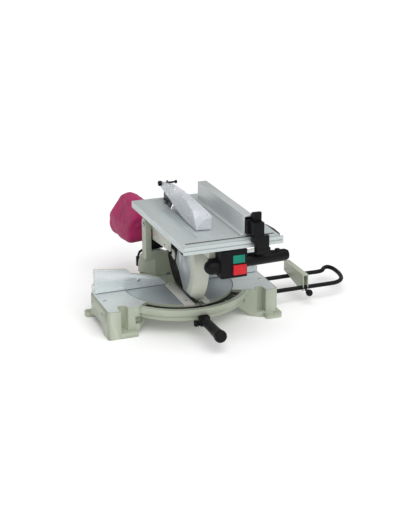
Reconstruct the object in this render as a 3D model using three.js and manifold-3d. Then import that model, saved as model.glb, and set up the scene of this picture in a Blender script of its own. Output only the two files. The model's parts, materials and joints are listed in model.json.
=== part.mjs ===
// A table-top mitre saw: a mitre saw whose lowered head carries a small saw table with a rip fence.
// Millimetres, +Z up, +X to the operator's right, the operator stands at -Y.
// All sizes are given from the turntable's axis at bench level; the machine group then shifts
// everything so that the origin lies under the middle of the whole object.
import * as THREE from 'three';
import { mergeVertices } from 'three/addons/utils/BufferGeometryUtils.js';
import Module from 'manifold-3d';

const wasm = await Module();
wasm.setup();

// ---- driving dimensions -------------------------------------------------------------------
const GAP = 0.3; // clearance left between pieces that touch
const MIDDLE = [124.845, 30.1, 0]; // middle of the whole object, seen from the turntable's axis

const MITRE_TOP = 77; // height of the mitre table
const DISC_R = 147; // turntable disc
const RIM_IN = 177; // rim of the base in front of the disc
const RIM_OUT = 190;
const RIM_BOTTOM = 60.3;
const WING_X = 240; // the base's half width
const WING_BACK = 84;
const RING_R = 182; // turning ring under the rim
const RING_BOTTOM = 46;
const POCKET = { x0: -90, x1: 30, y0: 82, y1: 118.5 }; // room behind the fence for the tilting arm

const FENCE_Y = 10; // face of the mitre fences
const FENCE_INNER = 32.5;

const BLADE_Y = -50; // spindle
const BLADE_Z = 195;
const BLADE_R = 130;
const CASE_R = 142;
const CASE_LEFT = -26;
const CASE_RIGHT = 15;
const CASE_BOTTOM = 84;
const CASE_TOP = 266;

const HEAD_PIVOT = { y: 100, z: 225 };
const ARM_FRONT = 84;
const ARM_BACK = 117;

const MODULE_MM = 1.75; // gears
const GEAR_TEETH = 57;
const PINION_TEETH = 13;
const GEAR_SPACING = (MODULE_MM * (GEAR_TEETH + PINION_TEETH)) / 2;
const MOTOR_TILT = Math.atan2(27, 55); // the armature sits behind and above the spindle
const MOTOR_Y = BLADE_Y + GEAR_SPACING * Math.cos(MOTOR_TILT);
const MOTOR_Z = BLADE_Z + GEAR_SPACING * Math.sin(MOTOR_TILT);
const MOTOR_R = 45;

const TABLE_TOP = 290;
const TABLE = { x0: -90, x1: 168, y0: -283, y1: 119 };
const TABLE_PLATE = 8;
const TABLE_SKIRT = 272;
const SLOT = { x0: -13, x1: 9, y0: -182, y1: 78 };
const KNIFE = { back: 108, half: 1.2 };
const GUARD_PIVOT = { y: 80, z: 343 };
const POST_R = 4.5; // the two posts that carry the table
const LEFT_POST = { x: -34.5, y: -20 };
const RIGHT_POST = { x: 55, y: -78 };
const INSERT = { x0: -34, x1: 42, y0: -236, y1: 96, thick: 3 };
const KERF = { left: -7.5, right: 10.5 }; // gap between the kerf boards

const ROD_R = 6; // stock holder
const ROD_Z = 40;
const ROD_FRONT = -60;
const ROD_BACK = 37;

const DUCT = { x: -8, z: 190, back: 205 };
const BAG_HINGE = 199;
const BAG_SECTION = [[-76, 128], [-82, 150], [-80, 185], [-48, 238], [-14, 246], [10, 232], [14, 150], [4, 130]];
const BAG_SIDE = [
  ...[[193, 132], [205, 126], [362, 126], [376, 150]],
  ...[[376, 205], [356, 240], [201, 248], [193, 236]],
];

// ---- colours ------------------------------------------------------------------------------
const CAST = { color: 0xb9bfae, roughness: 0.5, metalness: 0.1 };
const CREAM = { color: 0xe6e6d6, roughness: 0.5, metalness: 0.1 };
const ALLOY = { color: 0xc4cad0, roughness: 0.3, metalness: 0.9 };
const STEEL = { color: 0x9aa0a6, roughness: 0.35, metalness: 0.9 };
const DARK = { color: 0x232427, roughness: 0.55, metalness: 0.0 };
const COPPER = { color: 0xa8683a, roughness: 0.4, metalness: 0.7 };
const GREEN = { color: 0x2d9878, roughness: 0.4, metalness: 0.0 };
const RED = { color: 0xe03038, roughness: 0.4, metalness: 0.0 };
const MAGENTA = { color: 0xa52364, roughness: 0.9, metalness: 0.0 };
const CLEAR = { color: 0xd7dce4, roughness: 0.15, metalness: 0.0, transparent: true, opacity: 0.5 };

// ---- solids -------------------------------------------------------------------------------
function solid(geometry) {
  const bare = geometry.clone();
  bare.deleteAttribute('normal');
  bare.deleteAttribute('uv');
  const merged = mergeVertices(bare, 1e-4);
  return new wasm.Manifold(
    new wasm.Mesh({
      numProp: 3,
      vertProperties: new Float32Array(merged.attributes.position.array),
      triVerts: new Uint32Array(merged.index.array),
    }),
  );
}

function join(first, ...rest) {
  return rest.reduce((sum, piece) => sum.add(piece), first);
}

function cut(first, ...rest) {
  return rest.reduce((left, piece) => left.subtract(piece), first);
}

function outline(points, holes = []) {
  const shape = new THREE.Shape(points.map(([u, v]) => new THREE.Vector2(u, v)));
  for (const hole of holes) {
    shape.holes.push(new THREE.Path(hole.map(([u, v]) => new THREE.Vector2(u, v))));
  }
  return shape;
}

function extruded(shape, depth) {
  return new THREE.ExtrudeGeometry(shape, { depth, bevelEnabled: false, steps: 1 });
}

// outline in X, Y raised from z0 to z1
function upright(points, z0, z1, holes) {
  return solid(extruded(outline(points, holes), z1 - z0).translate(0, 0, z0));
}

// outline in Y, Z swept from x0 to x1
function alongX(points, x0, x1, holes) {
  const turn = new THREE.Matrix4().makeBasis(
    new THREE.Vector3(0, 1, 0),
    new THREE.Vector3(0, 0, 1),
    new THREE.Vector3(1, 0, 0),
  );
  return solid(extruded(outline(points, holes), x1 - x0).applyMatrix4(turn).translate(x0, 0, 0));
}

// outline in X, Z swept from y0 to y1
function alongY(points, y0, y1, holes) {
  const turn = new THREE.Matrix4().makeBasis(
    new THREE.Vector3(1, 0, 0),
    new THREE.Vector3(0, 0, 1),
    new THREE.Vector3(0, -1, 0),
  );
  return solid(extruded(outline(points, holes), y1 - y0).applyMatrix4(turn).translate(0, y1, 0));
}

function box(x0, x1, y0, y1, z0, z1) {
  const size = new THREE.BoxGeometry(x1 - x0, y1 - y0, z1 - z0);
  return solid(size.translate((x0 + x1) / 2, (y0 + y1) / 2, (z0 + z1) / 2));
}

// points on an arc, angles in degrees
function arc(cu, cv, r, from, to, steps) {
  const points = [];
  for (let i = 0; i <= steps; i += 1) {
    const a = THREE.MathUtils.degToRad(from + ((to - from) * i) / steps);
    points.push([cu + r * Math.cos(a), cv + r * Math.sin(a)]);
  }
  return points;
}

function circle(cu, cv, r, sides = 32) {
  return arc(cu, cv, r, 0, 360 - 360 / sides, sides - 1);
}

function rodX(y, z, r, x0, x1, sides) {
  return alongX(circle(y, z, r, sides), x0, x1);
}

function rodY(x, z, r, y0, y1, sides) {
  return alongY(circle(x, z, r, sides), y0, y1);
}

function rodZ(x, y, r, z0, z1, sides) {
  return upright(circle(x, y, r, sides), z0, z1);
}

function roundedBox(x0, x1, y0, y1, z0, z1, r) {
  const corners = [
    ...arc(x1 - r, y1 - r, r, 0, 90, 4),
    ...arc(x0 + r, y1 - r, r, 90, 180, 4),
    ...arc(x0 + r, y0 + r, r, 180, 270, 4),
    ...arc(x1 - r, y0 + r, r, 270, 360, 4),
  ];
  return upright(corners, z0, z1);
}

// profile of [radius, height] pairs turned about the Z axis
function turned(profile, sides = 32) {
  const points = profile.map(([r, h]) => new THREE.Vector2(r, h));
  return solid(new THREE.LatheGeometry(points, sides).rotateX(Math.PI / 2));
}

function node(name, piece, look) {
  const mesh = piece.getMesh();
  const geometry = new THREE.BufferGeometry();
  const points = new Float32Array(mesh.vertProperties);
  geometry.setAttribute('position', new THREE.BufferAttribute(points, 3));
  geometry.setIndex(new THREE.BufferAttribute(new Uint32Array(mesh.triVerts), 1));
  geometry.computeVertexNormals();
  const made = new THREE.Mesh(geometry, new THREE.MeshStandardMaterial(look));
  made.name = name;
  return made;
}

function mirrored(points) {
  return points.map(([u, v]) => [-u, v]).reverse();
}

// ---- base ---------------------------------------------------------------------------------
const LEFT_WING_PLAN = [
  [-200, WING_BACK],
  [-WING_X, 24],
  [-WING_X, -124],
  [-234, -130],
  [-205, -130],
  [-205, -116],
  [-150, -116],
  [-125, -95],
  [-60, -60],
  [-60, 60],
  [-120, WING_BACK],
];
const RIGHT_WING_PLAN = [
  [WING_X, 24],
  [200, WING_BACK],
  [120, WING_BACK],
  [60, 60],
  [60, -60],
  [125, -95],
  [160, -103],
  [187, -125],
  [234, -125],
  [WING_X, -119],
];
const WING_SECTION = [
  [-WING_X, 0],
  [-170, 0],
  [-113, 43],
  [-60, 43],
  [-60, MITRE_TOP],
  [-WING_X, MITRE_TOP],
];

function wing(plan, section, side) {
  const block = upright(plan, 0, MITRE_TOP).intersect(alongY(section, -200, 100));
  const [inner, outer] = [176, WING_X - 8];
  const room = [[inner, -84], [outer, -84], [outer, 22], [196, WING_BACK - 8], [inner, WING_BACK - 8]];
  const hollow = upright(side < 0 ? mirrored(room) : room, -1, MITRE_TOP - 9);
  const arch = [[-88, -5], [-76, 12], [-56, 26], [-16, 27], [36, 12], [58, -5]];
  const under = side < 0 ? alongX(arch, -WING_X - 5, -inner) : alongX(arch, inner, WING_X + 5);
  return cut(block, hollow, under);
}

function boltHole(x, y) {
  return rodZ(x, y, 4, -5, 40, 12);
}

function baseCasting() {
  const rim = upright(circle(0, 0, RIM_OUT, 72), RIM_BOTTOM, MITRE_TOP, [circle(0, 0, DISC_R + 1, 72)]);
  const frontRim = rim.intersect(box(-200, 200, -200, -55, 0, 100));
  const floorPlan = [...arc(0, 0, 158, 175, 365, 20), [76, 30], [-76, 30]];
  const swingRoom = rodZ(0, 0, DISC_R + 1, 20, 90, 72);
  let base = join(
    cut(wing(LEFT_WING_PLAN, WING_SECTION, -1), swingRoom),
    cut(wing(RIGHT_WING_PLAN, mirrored(WING_SECTION), 1), swingRoom),
    frontRim,
    upright(floorPlan, 34, 42.5),
    rodZ(0, 0, 40, 22, 42.5, 24),
  );
  const well = rodZ(0, 0, DISC_R + 1, 42.5 + GAP, 90, 72);
  const turningRoom = rodZ(0, 0, RING_R + 2, 42.5 + GAP, RIM_BOTTOM, 72);
  const scaleBed = upright(
    [...arc(0, 0, RIM_IN, 216, 324, 30), ...arc(0, 0, DISC_R - 2, 324, 216, 30)],
    67,
    80,
  );
  base = cut(base, well, turningRoom, scaleBed, rodZ(0, 0, 8.3, 0, 60, 20));
  const leftPocket = upright([[-205, -140], [-181, -140], ...arc(-193, -104, 12, 0, 180, 8)], 14, 90);
  const rightPocket = upright([[181, -140], [205, -140], ...arc(193, -106, 12, 0, 180, 8)], 14, 90);
  const leftFoot = roundedBox(-206, -158, -130, -95, 0, 14, 3);
  base = cut(join(base, leftFoot), leftPocket, rightPocket, boltHole(-188, -118));
  const frontLug = roundedBox(200, 246, -147, -100, 0, 13, 9);
  const rearLug = roundedBox(-249, -204, 42, 70, 0, 13, 9);
  base = cut(join(base, frontLug, rearLug), boltHole(226, -135), boltHole(-239, 56));
  for (const y of [-75, 18]) {
    base = cut(base, rodX(y, 55, 5, -250, -225, 16));
  }
  const leverRoom = rodZ(0, 0, 202, 30, 50.3, 72).intersect(box(-162, -140, -140, -100, 30, 51));
  base = cut(base, leverRoom);
  for (const y of [ROD_FRONT, ROD_BACK]) {
    base = cut(base, rodX(y, ROD_Z, ROD_R + GAP, 168, 260, 16));
  }
  return base;
}

const FENCE_OUTLINE = [
  [-233, MITRE_TOP + GAP],
  [-FENCE_INNER, MITRE_TOP + GAP],
  [-FENCE_INNER, 88],
  [-48, 99],
  [-75, 110],
  [-103, 116],
  [-129, 121],
  [-142, 135],
  [-233, 146],
];
const FENCE_FOOT = [[-160, 32], [-228, 32], [-239, 20], [-239, 12], [-160, 12]];

function mitreFence(side) {
  const plate = alongY(FENCE_OUTLINE, FENCE_Y, FENCE_Y + 10);
  const innerBevel = upright([[-22.5 - FENCE_Y, FENCE_Y], [0, 0], [0, 60], [-82.5, 60]], 70, 160);
  const foot = upright(FENCE_FOOT, MITRE_TOP + GAP, 102);
  const fence = join(cut(plate, innerBevel), foot);
  return side < 0 ? fence : fence.mirror([1, 0, 0]);
}

function mitreScale() {
  const outer = arc(0, 0, RIM_IN - GAP, 216.3, 323.7, 30);
  const points = [...outer, ...arc(0, 0, DISC_R + 1 + GAP, 323.7, 216.3, 30)];
  return upright(points, 67 + GAP, 70);
}

function turntableBolt() {
  return join(rodZ(0, 0, 8, 12, 58, 24), rodZ(0, 0, 13, 12, 22 - GAP, 6));
}

// ---- stock holder -------------------------------------------------------------------------
const ROD_START = 188;
const ROD_LOOP = [
  [430, ROD_FRONT],
  [450, -58],
  [468, -48],
  [482, -28],
  [491, 6],
  [492, 44],
  [484, 62],
  [470, 58],
  [456, 42],
  [440, ROD_BACK],
  [420, ROD_BACK],
];

function holderRods() {
  const corners = ROD_LOOP.map(([x, y]) => new THREE.Vector3(x, y, ROD_Z));
  const route = new THREE.CatmullRomCurve3(corners, false, 'centripetal');
  const section = outline(circle(0, 0, ROD_R, 10));
  const loop = new THREE.ExtrudeGeometry(section, { steps: 36, extrudePath: route, bevelEnabled: false });
  return join(
    rodX(ROD_FRONT, ROD_Z, ROD_R, ROD_START, ROD_LOOP[0][0] + 1, 10),
    rodX(ROD_BACK, ROD_Z, ROD_R, ROD_START, ROD_LOOP[ROD_LOOP.length - 1][0] + 1, 10),
    solid(loop),
  );
}

function holderPlate() {
  const side = [[-66, 31], [-40, 31], [62, 50], [62, 79], [-66, 79]];
  const shell = cut(alongX(side, 344, 360), box(346.5, 357.5, -80, 80, 20, 76.5));
  return cut(
    join(shell, box(344, 360, -50, -20, 50.5, 54), box(344, 360, 28, 48, 50.5, 54)),
    rodX(ROD_FRONT, ROD_Z, ROD_R + GAP, 330, 370, 16),
    rodX(ROD_BACK, ROD_Z, ROD_R + GAP, 330, 370, 16),
  );
}

function holderThumbscrew() {
  return join(rodY(352, 34, 3, -84, -66 - GAP, 10), rodY(352, 34, 9, -97, -84, 12));
}

// ---- turntable ----------------------------------------------------------------------------
function armRoom() {
  const behind = box(POCKET.x0, -54.5, POCKET.y1 - 1, 130.5, 20, 90);
  const below = box(POCKET.x0, -46, POCKET.y1 - 1, 130.5, 20, RIM_BOTTOM);
  return join(box(POCKET.x0, POCKET.x1, POCKET.y0, POCKET.y1, 20, 90), behind, below);
}

function turntable() {
  const disc = rodZ(0, 0, DISC_R, RIM_BOTTOM + GAP, MITRE_TOP, 72);
  const trough = box(-18, 18, -136, 50, 51, 62);
  const hub = rodZ(0, 0, 30, RING_BOTTOM, 62, 32);
  const bracket = alongY([[-54, 61], [56, 61], ...arc(0, MITRE_TOP, 54, 0, 180, 20)], 120, 132);
  const slotArc = [
    ...arc(0, MITRE_TOP, 48.6, 120, 181, 10),
    ...arc(0, MITRE_TOP, 39.4, 181, 120, 10),
  ];
  return cut(
    join(disc, trough, hub, bracket),
    box(-12.5, 12.5, -130, 40, 54, 90),
    box(-37, 37, -160, 78, 70, 90),
    armRoom(),
    box(-64, 14, 132, 150, 60, 90),
    rodZ(0, 0, 8.3, 20, 58.5, 20),
    rodY(0, MITRE_TOP, 6.3, 100, 150, 16),
    alongY(slotArc, 100, 150),
  );
}

function turntableRing() {
  const inner = upright(circle(0, 0, DISC_R, 72), RING_BOTTOM, RIM_BOTTOM, [circle(0, 0, 62, 40)]);
  const frontPlan = [...arc(0, 0, RING_R, 212, 328, 32), ...arc(0, 0, 120, 328, 212, 16)];
  const front = upright(frontPlan, RING_BOTTOM, RIM_BOTTOM);
  const slim = box(-300, 300, -300, 300, RIM_BOTTOM - GAP, RIM_BOTTOM + 5);
  return cut(join(inner, front), slim, armRoom(), box(-19, 19, -137, 90, 40, 62));
}

function kerfBoard(x0, x1) {
  return box(x0, x1, -150, 17, 70 + GAP, MITRE_TOP - 0.2).intersect(rodZ(0, 0, 146, 60, 90, 72));
}

function mitrePointer() {
  return join(box(4, 14, -168, -128, MITRE_TOP + GAP, 79), rodZ(9, -137, 4, MITRE_TOP + GAP, 82, 12));
}

function gripBracket() {
  return cut(box(-13, 13, -205, -RING_R - GAP, 34, 59), box(-20, 20, -200, -188, 30, 40));
}

function mitreGrip() {
  const profile = [[0, 0], [12.5, 0], [13, 52], [15, 92], [16.5, 97], [16.5, 104], [13, 109], [0, 110.5]];
  return turned(profile, 20).rotate([90, 0, 0]).translate([0, -205 - GAP, 47]);
}

function mitreLockLever() {
  return join(rodX(-194, 36, 2.6, -18, 14, 10), roundedBox(-27, -15, -199, -185, 34, 47, 3));
}

function bevelBolt() {
  return join(rodY(0, MITRE_TOP, 6, 84, 140, 20), rodY(0, MITRE_TOP, 11, 132 + GAP, 140, 6));
}

// ---- tilting arm --------------------------------------------------------------------------
function bevelArm() {
  const front = [
    ...[[46, 79], [46, 130], [42, 150], [27, 134], [2, 137], [-8, 143], [-20, 149], [-31, 151.3]],
    ...[[-43, 151], [-53, 146], [-61, 138], [-66, 127], [-69, 116], [-71, 105], [-74, 92], [-76, 79]],
  ];
  const flange = alongY(front, ARM_FRONT, ARM_BACK);
  const rearEdge = alongY([[-58, 79], [-58, 134], [-66, 128], [-73, 104], [-76, 79]], ARM_BACK - 5, 129);
  const swingRoom = upright([[-20, 70], [-36, 83], [-72.5, 129.5], [-90, 150], [-90, 70]], 70, 127);
  const cheekSide = [
    [ARM_FRONT, 132],
    [ARM_BACK, 132],
    ...arc(HEAD_PIVOT.y + 0.5, HEAD_PIVOT.z + 2, 16.5, 0, 180, 10),
  ];
  const hub = rodY(0, MITRE_TOP, 26, ARM_FRONT, ARM_BACK, 28);
  return cut(
    join(cut(join(flange, rearEdge), swingRoom), hub, alongX(cheekSide, -63, -47), alongX(cheekSide, 28, 42)),
    rodY(0, MITRE_TOP, 6.3, 70, 130, 16),
    rodX(HEAD_PIVOT.y, HEAD_PIVOT.z, 7.3, -80, 60, 16),
    rodY(-27, 111.6, 4.3, 90, 130, 12),
    rodX(106, 196, 4.3, 20, 60, 12),
  );
}

function bevelLever() {
  const stem = rodY(-27, 111.6, 4, 101, 146, 12);
  const boss = rodY(-27, 111.6, 9, 132 + GAP, 146, 12);
  const rod = alongY(
    [
      ...[[-21, 116], [-50, 143], [-66, 134], [-71, 120], [-67, 118]],
      ...[[-62, 130], [-50, 138], [-27, 116], [-27, 108]],
    ],
    137,
    142,
  );
  const knob = rodZ(-68, 139.5, 6.5, 93, 119, 12);
  return join(stem, boss, rod, knob);
}

function headShaft() {
  const shaft = rodX(HEAD_PIVOT.y, HEAD_PIVOT.z, 7, -66, 46, 20);
  return join(shaft, rodX(HEAD_PIVOT.y, HEAD_PIVOT.z, 11, 42 + GAP, 49, 6));
}

function headSpring() {
  const hole = circle(HEAD_PIVOT.y, HEAD_PIVOT.z, 8.5, 24);
  return alongX(circle(HEAD_PIVOT.y, HEAD_PIVOT.z, 14, 24), 18, 27, [hole]);
}

function stopPin() {
  return join(rodX(106, 196, 4, 28, 52, 12), rodX(106, 196, 9, 50, 62, 12));
}

// ---- head ---------------------------------------------------------------------------------
function caseDisc(r, x0, x1, sides = 72) {
  return rodX(BLADE_Y, BLADE_Z, r, x0, x1, sides);
}

const WINDOW_SIDE = [[-400, 0], [98, 0], [98, 186], [78, 196], [-60, 206], [-110, 250], [-400, 262]];

function bladeCase() {
  const outer = caseDisc(CASE_R, CASE_LEFT, CASE_RIGHT);
  const inner = caseDisc(CASE_R - 5, CASE_LEFT + 4, CASE_RIGHT - 4);
  const sideWindow = join(caseDisc(116, -60, CASE_LEFT + 4.1), box(-60, CASE_LEFT + 4.1, 0, 100, 60, 196))
    .intersect(alongX(WINDOW_SIDE, -60, 60));
  const tiltRoom = alongY([[-80, -20], [80, -20], [3, MITRE_TOP + 3], [-80, MITRE_TOP + 86]], -300, 200);
  const rearOpen = box(CASE_LEFT + 4, CASE_RIGHT - 4, 20, 95, 80, 205);
  const lowRear = box(-60, 60, 55, 100, 60, 185);
  const shell = cut(
    cut(outer, inner).intersect(box(-60, 60, -250, 93, CASE_BOTTOM, CASE_TOP)),
    sideWindow,
    tiltRoom,
    rearOpen,
    lowRear,
  );
  const barrel = rodX(HEAD_PIVOT.y, HEAD_PIVOT.z, 15, -46, 17, 24);
  const web = alongX([[60, 206], [95, 212], [100, 238], [60, 262]], CASE_LEFT, CASE_RIGHT);
  const handleArm = box(-8, 22, -248, -178, 236, 262);
  const postBlock = box(-41, CASE_LEFT + 1, LEFT_POST.y - 8, LEFT_POST.y + 8, 218, 246);
  return cut(
    join(shell, barrel, cut(join(web, handleArm), caseDisc(CASE_R - 5, -60, 60)), postBlock),
    rodZ(LEFT_POST.x, LEFT_POST.y, POST_R + GAP, 200, 260, 16),
    rodX(HEAD_PIVOT.y, HEAD_PIVOT.z, 7.3, -60, 60, 16),
    rodX(BLADE_Y, BLADE_Z, 14.5, 0, 60, 24),
    box(-KNIFE.half - GAP, KNIFE.half + GAP, 60, 115, 243.7, 270),
  );
}

function sideCover() {
  const plate = alongX([[80, 186], [-61, 197], [-66, 230], [-66, 262], [80, 262]], -45, CASE_LEFT - GAP);
  return cut(plate, alongX([[74, 180], [-80, 192], [-80, 270], [74, 270]], -42, -20));
}

function splinterGuard() {
  const points = [
    ...arc(BLADE_Y, BLADE_Z, 132, 266, 353, 20),
    ...arc(BLADE_Y, BLADE_Z, 27, 353, 266, 6),
  ];
  return alongX(points, -4.4, -3).intersect(box(-20, 20, -200, 100, MITRE_TOP + 3, 300));
}

function lowerGuard() {
  const points = [
    ...arc(BLADE_Y, BLADE_Z, 133, 152, 258, 20),
    [-30, 124],
    [-4, 146],
    ...arc(BLADE_Y, BLADE_Z, 34, 340, 480, 8),
  ];
  const plate = alongX(points, -8.2, -6.7).intersect(box(-20, 20, -300, 100, MITRE_TOP + 9, 300));
  return cut(plate, caseDisc(15.5, -20, 20, 28));
}

function gearHousing() {
  const bowl = (r, motorR, x0, x1) => join(
    rodX(BLADE_Y, BLADE_Z, r, x0, x1, 32),
    rodX(MOTOR_Y, MOTOR_Z, motorR, x0, x1, 32),
  );
  const postBlock = join(
    rodZ(RIGHT_POST.x, RIGHT_POST.y, 9, 196, 238, 20),
    box(42, RIGHT_POST.x, RIGHT_POST.y - 7, RIGHT_POST.y + 7, 196, 236),
  );
  return cut(
    join(bowl(58, MOTOR_R, CASE_RIGHT + GAP, 44), postBlock),
    rodZ(RIGHT_POST.x, RIGHT_POST.y, POST_R + GAP, 190, 245, 16),
    bowl(53, 17, 20, 40),
    rodX(BLADE_Y, BLADE_Z, 14.5, 10, 25, 24),
    rodX(BLADE_Y, BLADE_Z, 9, 30, 42, 20),
    rodX(MOTOR_Y, MOTOR_Z, 8, 30, 50, 20),
  );
}

function motorHousing() {
  const outer = rodX(MOTOR_Y, MOTOR_Z, MOTOR_R, 44 + GAP, 150, 32);
  return cut(outer, rodX(MOTOR_Y, MOTOR_Z, MOTOR_R - 4, 48, 160, 32), rodX(MOTOR_Y, MOTOR_Z, 8, 40, 60, 20));
}

function motorEndCap() {
  return cut(
    join(rodX(MOTOR_Y, MOTOR_Z, MOTOR_R, 150 + GAP, 164, 32), rodX(MOTOR_Y, MOTOR_Z, 30, 160, 172, 24)),
    rodX(MOTOR_Y, MOTOR_Z, MOTOR_R - 4, 140, 159, 32),
    rodX(MOTOR_Y, MOTOR_Z, 7, 150, 168, 20),
  );
}

function stator() {
  const y = MOTOR_Y;
  const z = MOTOR_Z;
  return alongX(circle(y, z, MOTOR_R - 4 - GAP, 32), 66, 122, [circle(y, z, 28, 32)]);
}

// a gear's outline with straight-flanked teeth
function gearOutline(y, z, teeth, startDeg) {
  const pitch = (MODULE_MM * teeth) / 2;
  const rows = [
    [-0.36, pitch - 1.25 * MODULE_MM],
    [-0.15, pitch + 0.75 * MODULE_MM],
    [0.15, pitch + 0.75 * MODULE_MM],
    [0.36, pitch - 1.25 * MODULE_MM],
  ];
  const points = [];
  for (let i = 0; i < teeth; i += 1) {
    for (const [share, r] of rows) {
      const a = THREE.MathUtils.degToRad(startDeg + ((i + share) * 360) / teeth);
      points.push([y + r * Math.cos(a), z + r * Math.sin(a)]);
    }
  }
  return points;
}

const MESH_DEG = THREE.MathUtils.radToDeg(MOTOR_TILT);

function largeGear() {
  const points = gearOutline(BLADE_Y, BLADE_Z, GEAR_TEETH, MESH_DEG);
  return alongX(points, 26, 36, [circle(BLADE_Y, BLADE_Z, 8 + GAP, 24)]);
}

function spindle() {
  return join(
    rodX(BLADE_Y, BLADE_Z, 8, -1.6, 38, 24),
    rodX(BLADE_Y, BLADE_Z, 11, 5.6, 19.7, 24),
  );
}

function spindleBearing() {
  return alongX(circle(BLADE_Y, BLADE_Z, 14.2, 24), 11.5, 19, [circle(BLADE_Y, BLADE_Z, 11 + GAP, 24)]);
}

function sawBlade() {
  const teeth = 48;
  const points = [];
  for (let i = 0; i < teeth; i += 1) {
    const a = (i * 2 * Math.PI) / teeth;
    const b = ((i + 0.42) * 2 * Math.PI) / teeth;
    points.push([BLADE_Y + BLADE_R * Math.cos(a), BLADE_Z + BLADE_R * Math.sin(a)]);
    points.push([BLADE_Y + (BLADE_R - 7) * Math.cos(b), BLADE_Z + (BLADE_R - 7) * Math.sin(b)]);
  }
  return alongX(points, -1.2, 1.2, [circle(BLADE_Y, BLADE_Z, 8 + GAP, 24)]);
}

function innerFlange() {
  return alongX(circle(BLADE_Y, BLADE_Z, 25, 32), 1.5, 5.3, [circle(BLADE_Y, BLADE_Z, 8 + GAP, 24)]);
}

function outerFlange() {
  return alongX(circle(BLADE_Y, BLADE_Z, 25, 32), -5.2, -1.9, [circle(BLADE_Y, BLADE_Z, 5.3, 24)]);
}

function bladeBolt() {
  return join(rodX(BLADE_Y, BLADE_Z, 10, -13.5, -5.5, 6), rodX(BLADE_Y, BLADE_Z, 5, -6, -1.9, 16));
}

function armature() {
  const shaft = rodX(MOTOR_Y, MOTOR_Z, 5, 24, 166, 20);
  const core = rodX(MOTOR_Y, MOTOR_Z, 26, 70, 118, 32);
  const collector = rodX(MOTOR_Y, MOTOR_Z, 15, 124, 140, 24);
  const pinionTurn = MESH_DEG + 180 + 180 / PINION_TEETH;
  const pinion = alongX(gearOutline(MOTOR_Y, MOTOR_Z, PINION_TEETH, pinionTurn), 25.5, 36.5);
  return join(shaft, core, collector, pinion);
}

function coolingFan() {
  let fan = alongX(circle(MOTOR_Y, MOTOR_Z, 36, 32), 50, 52.5, [circle(MOTOR_Y, MOTOR_Z, 5 + GAP, 20)]);
  fan = join(fan, alongX(circle(MOTOR_Y, MOTOR_Z, 12, 24), 52, 62, [circle(MOTOR_Y, MOTOR_Z, 5 + GAP, 20)]));
  for (let i = 0; i < 8; i += 1) {
    const blade = box(52, 62, -1, 1, 10, 34).rotate([i * 45, 0, 0]).translate([0, MOTOR_Y, MOTOR_Z]);
    fan = join(fan, blade);
  }
  return fan;
}

// ---- handle and switch --------------------------------------------------------------------
function switchBox() {
  const body = roundedBox(9, 80, -290, -236, 193, 264, 5);
  const lump = join(
    rodX(-262, 218, 19, -7, 12, 20),
    solid(new THREE.SphereGeometry(19, 16, 10).translate(-7, -262, 218)),
  );
  const windows = join(
    box(40 - GAP, 72 + GAP, -300, -264, 230, 252),
    box(40 - GAP, 75 + GAP, -300, -264, 201, 227),
  );
  const seat = box(-9, 23, -249, -170, 235, 270);
  return cut(join(body, lump, box(-12, 12, -262, -248, 204, 237)), windows, seat);
}

function switchButton(x1, front, z0, z1) {
  return box(40, x1, front, -272, z0, z1);
}

function handleBar() {
  const bar = turned([[0, 0], [17.5, 0], [16.5, 60], [15.5, 112], [12, 119], [0, 121]], 24);
  const placed = bar.rotate([0, 90, 0]).translate([80 + GAP, -268, 228]);
  return cut(placed, box(104, 152, -262, -240, 220, 236), box(166, 178, -276, -260, 236, 260));
}

function trigger() {
  return box(104 + GAP, 152 - GAP, -256, -248, 220 + GAP, 236 - GAP);
}

function lockOffButton() {
  return box(166 + GAP, 178 - GAP, -276 + GAP, -260 - GAP, 239, 246);
}

// ---- dust collection ----------------------------------------------------------------------

function dustNozzle() {
  const tube = rodY(DUCT.x, DUCT.z, 15, 94, DUCT.back, 20);
  const shroud = box(-42, -10, 94, 108, 153, 184);
  return cut(join(tube, shroud), rodY(DUCT.x, DUCT.z, 12, 50, DUCT.back + 10, 20));
}

function dustBag() {
  const body = alongY(BAG_SECTION, 190, 380).intersect(alongX(BAG_SIDE, -200, 200));
  return cut(body, solid(new THREE.SphereGeometry(27, 16, 12).translate(DUCT.x, BAG_HINGE, DUCT.z)));
}

// ---- saw table ----------------------------------------------------------------------------
function sawTable() {
  const plate = box(TABLE.x0, TABLE.x1, TABLE.y0, TABLE.y1, TABLE_SKIRT, TABLE_TOP);
  const [x0, x1, y0, y1] = [TABLE.x0 + 6, TABLE.x1 - 6, TABLE.y0 + 6, TABLE.y1 - 6];
  const hollow = box(x0, x1, y0, y1, TABLE_SKIRT - 5, TABLE_TOP - TABLE_PLATE);
  const bed = box(INSERT.x0, INSERT.x1, INSERT.y0, INSERT.y1, TABLE_TOP - INSERT.thick, TABLE_TOP + 5);
  const slot = box(SLOT.x0 - 5, SLOT.x1 + 5, SLOT.y0 - 6, SLOT.y1 + 4, 200, 300);
  return cut(plate, hollow, bed, slot, box(-4, 4, SLOT.y1, KNIFE.back + 4, 200, 300));
}

function tableInsert() {
  const strip = box(
    INSERT.x0 + GAP,
    INSERT.x1 - GAP,
    INSERT.y0 + GAP,
    INSERT.y1 - GAP,
    TABLE_TOP - INSERT.thick + GAP,
    TABLE_TOP,
  );
  return cut(
    strip,
    box(SLOT.x0, SLOT.x1, SLOT.y0, SLOT.y1, 280, 300),
    box(-4, 4, SLOT.y1 - 1, INSERT.y1 + 5, 280, 300),
  );
}

function frontRail() {
  const section = [
    ...[[-283.3, 287], [-290, 287], [-290, 279], [-287, 279]],
    ...[[-287, 276], [-290, 276], [-290, 268], [-283.3, 268]],
  ];
  return alongX(section, TABLE.x0, 177);
}

function tablePost({ x, y }, foot) {
  return rodZ(x, y, POST_R, foot, TABLE_TOP - TABLE_PLATE - GAP, 16);
}

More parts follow.
